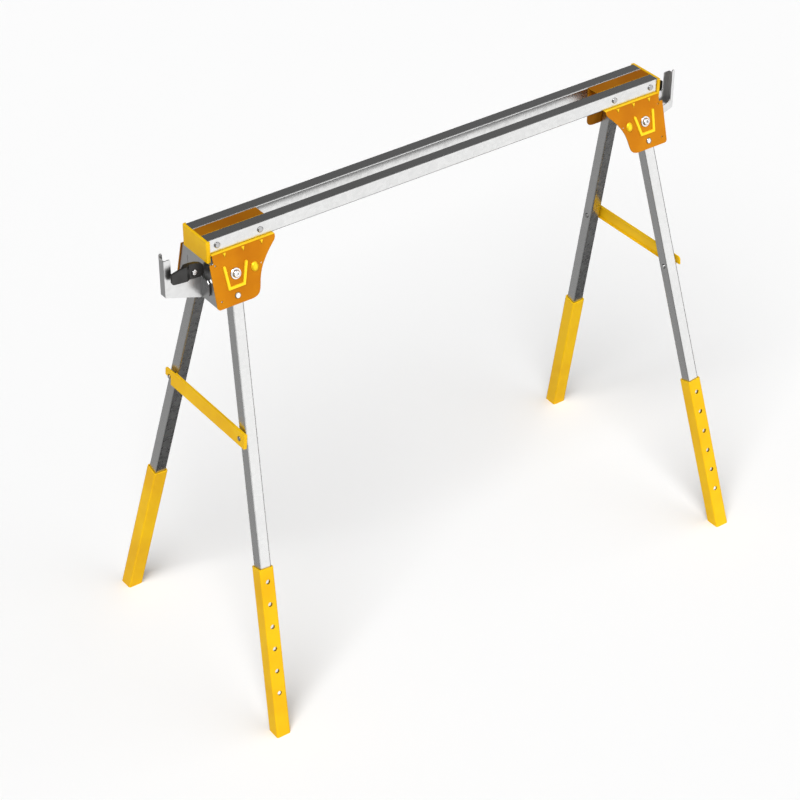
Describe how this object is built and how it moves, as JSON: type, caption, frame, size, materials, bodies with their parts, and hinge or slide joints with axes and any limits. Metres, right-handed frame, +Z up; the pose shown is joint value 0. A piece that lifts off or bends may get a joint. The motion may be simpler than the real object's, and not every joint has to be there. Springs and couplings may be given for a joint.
{
  "type": "folding sawhorse",
  "caption": "Steel sawhorse with a twin-rail beam, splayed folding legs, telescoping feet, hooked braces and swing-out support arms.",
  "frame": {"origin": "on the floor, under the middle of the beam", "axes": "+X along the beam towards the right head, -Y towards the front of the sawhorse, +Z up"},
  "size_m": [1.0134, 0.4918, 0.813],
  "materials": {
    "galvanised_steel": "zinc-plated sheet and tube, satin",
    "yellow_paint": "satin powder coat",
    "amber_paint": "deep amber coat over bright sheet",
    "bright_steel": "bright plated",
    "black_plastic": "moulded, slightly glossy"
  },
  "bodies": {
    "beam": {"front_rail": "galvanised_steel", "back_rail": "galvanised_steel", "left_end_cap": "yellow_paint", "left_spacer_channel": "amber_paint", "left_web_plate": "galvanised_steel", "left_tie_rivet_outer": "galvanised_steel", "left_tie_rivet_inner": "galvanised_steel", "left_arm_hinge_pin": "bright_steel", "left_front_side_plate": "amber_paint", "left_front_pivot_bolt": "bright_steel", "left_front_pivot_nut": "bright_steel", "left_back_side_plate": "amber_paint", "left_back_pivot_bolt": "bright_steel", "left_back_pivot_nut": "bright_steel", "right_end_cap": "yellow_paint", "right_spacer_channel": "amber_paint", "right_web_plate": "galvanised_steel", "right_tie_rivet_outer": "galvanised_steel", "right_tie_rivet_inner": "galvanised_steel", "right_arm_hinge_pin": "bright_steel", "right_front_side_plate": "amber_paint", "right_front_pivot_bolt": "bright_steel", "right_front_pivot_nut": "bright_steel", "right_back_side_plate": "amber_paint", "right_back_pivot_bolt": "bright_steel", "right_back_pivot_nut": "bright_steel"},
    "left_front_leg": {"left_front_leg_tube": "galvanised_steel", "left_brace_rivet": "galvanised_steel"},
    "left_front_foot": {"left_front_foot_sleeve": "yellow_paint"},
    "left_front_foot_snap": {"left_front_foot_button": "bright_steel"},
    "left_front_head_lock": {"left_front_lock_button": "bright_steel"},
    "left_back_leg": {"left_back_leg_tube": "galvanised_steel", "left_brace_pin": "bright_steel"},
    "left_back_foot": {"left_back_foot_sleeve": "yellow_paint"},
    "left_back_foot_snap": {"left_back_foot_button": "bright_steel"},
    "left_back_head_lock": {"left_back_lock_button": "bright_steel"},
    "left_brace_bar": {"left_brace": "yellow_paint"},
    "left_arm": {"left_support_arm": "galvanised_steel", "left_latch_screw": "bright_steel"},
    "left_lever": {"left_latch_lever": "black_plastic"},
    "right_back_leg": {"right_back_leg_tube": "galvanised_steel", "right_brace_rivet": "galvanised_steel"},
    "right_back_foot": {"right_back_foot_sleeve": "yellow_paint"},
    "right_back_foot_snap": {"right_back_foot_button": "bright_steel"},
    "right_back_head_lock": {"right_back_lock_button": "bright_steel"},
    "right_front_leg": {"right_front_leg_tube": "galvanised_steel", "right_brace_pin": "bright_steel"},
    "right_front_foot": {"right_front_foot_sleeve": "yellow_paint"},
    "right_front_foot_snap": {"right_front_foot_button": "bright_steel"},
    "right_front_head_lock": {"right_front_lock_button": "bright_steel"},
    "right_brace_bar": {"right_brace": "yellow_paint"},
    "right_arm": {"right_support_arm": "galvanised_steel", "right_latch_screw": "bright_steel"},
    "right_lever": {"right_latch_lever": "black_plastic"}
  },
  "joints": [
    {"name": "left_front_leg_fold", "type": "hinge", "parent": "beam", "child": "left_front_leg", "pos_m": [-0.401, -0.0358, 0.7489], "axis": [0.0023, -0.9666, 0.2561], "range_deg": [0, 96.75]},
    {"name": "left_front_foot_slide", "type": "slide", "parent": "left_front_leg", "child": "left_front_foot", "axis": [0.0872, 0.2533, 0.9635], "range_m": [-0.195, 0]},
    {"name": "left_front_foot_snap_press", "type": "slide", "parent": "left_front_leg", "child": "left_front_foot_snap", "axis": [0, 0.9671, -0.2543], "range_m": [0, 0.0016], "stiffness_N_per_m": 600, "springref_m": -0.0015},
    {"name": "left_front_head_lock_press", "type": "slide", "parent": "beam", "child": "left_front_head_lock", "axis": [0, 0.9671, -0.2543], "range_m": [0, 0.0024], "stiffness_N_per_m": 600, "springref_m": -0.0015},
    {"name": "left_back_leg_fold", "type": "hinge", "parent": "beam", "child": "left_back_leg", "pos_m": [-0.401, 0.0358, 0.7489], "axis": [-0.0023, -0.9666, -0.2561], "range_deg": [0, 96.75]},
    {"name": "left_back_foot_slide", "type": "slide", "parent": "left_back_leg", "child": "left_back_foot", "axis": [0.0872, -0.2533, 0.9635], "range_m": [-0.195, 0]},
    {"name": "left_back_foot_snap_press", "type": "slide", "parent": "left_back_leg", "child": "left_back_foot_snap", "axis": [0, -0.9671, -0.2543], "range_m": [0, 0.0016], "stiffness_N_per_m": 600, "springref_m": -0.0015},
    {"name": "left_back_head_lock_press", "type": "slide", "parent": "beam", "child": "left_back_head_lock", "axis": [0, -0.9671, -0.2543], "range_m": [0, 0.0024], "stiffness_N_per_m": 600, "springref_m": -0.0015},
    {"name": "left_brace_fold", "type": "hinge", "parent": "left_front_leg", "child": "left_brace_bar", "pos_m": [-0.4241, -0.10295, 0.4935], "axis": [0.9959, 0, -0.0901], "range_deg": [0, 75.38]},
    {"name": "left_arm_swing", "type": "hinge", "parent": "beam", "child": "left_arm", "pos_m": [-0.447, -0.002, 0.7225], "axis": [0, 0, -1], "range_deg": [0, 90]},
    {"name": "left_lever_lift", "type": "hinge", "parent": "left_arm", "child": "left_lever", "pos_m": [-0.458, -0.0179, 0.762], "axis": [0, 1, 0], "range_deg": [0, 25]},
    {"name": "right_back_leg_fold", "type": "hinge", "parent": "beam", "child": "right_back_leg", "pos_m": [0.401, 0.0358, 0.7489], "axis": [-0.0023, 0.9666, 0.2561], "range_deg": [0, 92]},
    {"name": "right_back_foot_slide", "type": "slide", "parent": "right_back_leg", "child": "right_back_foot", "axis": [-0.0872, -0.2533, 0.9635], "range_m": [-0.195, 0]},
    {"name": "right_back_foot_snap_press", "type": "slide", "parent": "right_back_leg", "child": "right_back_foot_snap", "axis": [0, -0.9671, -0.2543], "range_m": [0, 0.0016], "stiffness_N_per_m": 600, "springref_m": -0.0015},
    {"name": "right_back_head_lock_press", "type": "slide", "parent": "beam", "child": "right_back_head_lock", "axis": [0, -0.9671, -0.2543], "range_m": [0, 0.0024], "stiffness_N_per_m": 600, "springref_m": -0.0015},
    {"name": "right_front_leg_fold", "type": "hinge", "parent": "beam", "child": "right_front_leg", "pos_m": [0.401, -0.0358, 0.7489], "axis": [0.0023, 0.9666, -0.2561], "range_deg": [0, 92]},
    {"name": "right_front_foot_slide", "type": "slide", "parent": "right_front_leg", "child": "right_front_foot", "axis": [-0.0872, 0.2533, 0.9635], "range_m": [-0.195, 0]},
    {"name": "right_front_foot_snap_press", "type": "slide", "parent": "right_front_leg", "child": "right_front_foot_snap", "axis": [0, 0.9671, -0.2543], "range_m": [0, 0.0016], "stiffness_N_per_m": 600, "springref_m": -0.0015},
    {"name": "right_front_head_lock_press", "type": "slide", "parent": "beam", "child": "right_front_head_lock", "axis": [0, 0.9671, -0.2543], "range_m": [0, 0.0024], "stiffness_N_per_m": 600, "springref_m": -0.0015},
    {"name": "right_brace_fold", "type": "hinge", "parent": "right_back_leg", "child": "right_brace_bar", "pos_m": [0.4241, 0.10295, 0.4935], "axis": [-0.9959, 0, -0.0901], "range_deg": [0, 75.38]},
    {"name": "right_arm_swing", "type": "hinge", "parent": "beam", "child": "right_arm", "pos_m": [0.447, 0.002, 0.7135], "axis": [0, 0, -1], "range_deg": [0, 90]},
    {"name": "right_lever_lift", "type": "hinge", "parent": "right_arm", "child": "right_lever", "pos_m": [0.458, 0.0179, 0.753], "axis": [0, -1, 0], "range_deg": [0, 25]}
  ],
  "couplings": [
    {"joint": "left_back_leg_fold", "follows": "left_front_leg_fold", "ratio": 1},
    {"joint": "left_brace_fold", "follows": "left_front_leg_fold", "ratio": 0.77858},
    {"joint": "right_front_leg_fold", "follows": "right_back_leg_fold", "ratio": 1},
    {"joint": "right_brace_fold", "follows": "right_back_leg_fold", "ratio": 0.81878}
  ]
}
